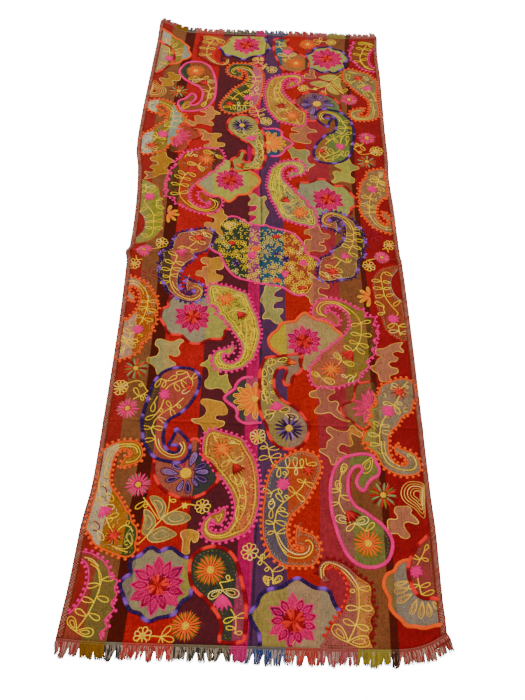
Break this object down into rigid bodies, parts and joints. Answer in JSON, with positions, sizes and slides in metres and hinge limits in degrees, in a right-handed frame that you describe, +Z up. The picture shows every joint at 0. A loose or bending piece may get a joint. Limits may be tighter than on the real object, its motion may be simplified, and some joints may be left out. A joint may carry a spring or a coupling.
{
  "type": "shawl",
  "caption": "Long rectangular woven shawl laid flat, with whipped long edges, fold creases, embroidered paisleys and a short fringe at each end.",
  "frame": {"origin": "under the middle of the outline, on the surface the shawl rests on", "axes": "+X right across the width, +Y along the length from the near hem to the far hem, +Z up"},
  "size_m": [0.7174, 2.0032, 0.014],
  "materials": {
    "shawl_panel": "soft wool weave in lengthwise stripes, worked all over in coloured wool thread",
    "turned_edge": "folded wool cloth whipped down with pale thread",
    "fringe": "loose wool warp yarns, coloured stripe by stripe"
  },
  "bodies": {
    "root": {"shawl_panel": "shawl_panel", "turned_edge_left": "turned_edge", "turned_edge_right": "turned_edge", "fringe_near": "fringe", "fringe_far": "fringe"}
  },
  "joints": []
}
